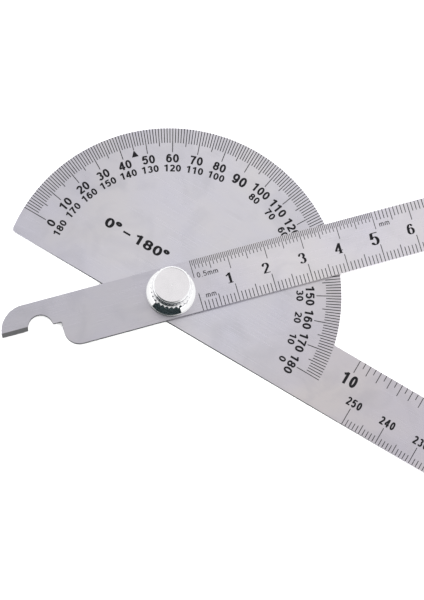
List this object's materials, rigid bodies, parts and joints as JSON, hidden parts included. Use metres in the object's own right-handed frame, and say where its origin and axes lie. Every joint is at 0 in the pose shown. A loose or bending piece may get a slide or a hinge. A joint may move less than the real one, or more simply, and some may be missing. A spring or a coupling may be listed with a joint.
{
  "type": "two-arm protractor",
  "caption": "Half-disc steel protractor with a fixed ruler arm, a hooked swing arm and a knurled clamp nut on the pivot.",
  "frame": {"origin": "on the pivot axis, in the plane of the blade's back face, which lies flat on the work", "axes": "+X along the fixed ruler arm towards its zero end, +Y towards the 90 degree mark, +Z out of the front face along the pivot axis"},
  "size_m": [0.3508, 0.1542, 0.0114],
  "materials": {
    "blade_steel": "satin, fine grain along the ruler arm",
    "arm_steel": "satin, fine grain along the arm",
    "stud_steel": "turned",
    "washer_plate": "bright plated",
    "nut_chrome": "bright plated, fine turned top face"
  },
  "bodies": {
    "blade": {"base_blade": "blade_steel", "pivot_stud": "stud_steel"},
    "arm": {"swing_arm": "arm_steel"},
    "washer": {"clamp_washer": "washer_plate"},
    "nut": {"thumb_nut": "nut_chrome"}
  },
  "joints": [
    {"name": "arm_swing", "type": "hinge", "parent": "blade", "child": "arm", "pos_m": [0, 0, 0.00155], "axis": [0, 0, 1], "continuous": true},
    {"name": "clamp_lift", "type": "slide", "parent": "blade", "child": "washer", "axis": [0, 0, 1], "range_m": [0, 0.0016]},
    {"name": "nut_turn", "type": "hinge", "parent": "washer", "child": "nut", "pos_m": [0, 0, 0.007], "axis": [0, 0, 1], "range_deg": [0, 720]}
  ],
  "couplings": [
    {"joint": "clamp_lift", "follows": "nut_turn", "m_per_rad": 0.00012732}
  ]
}
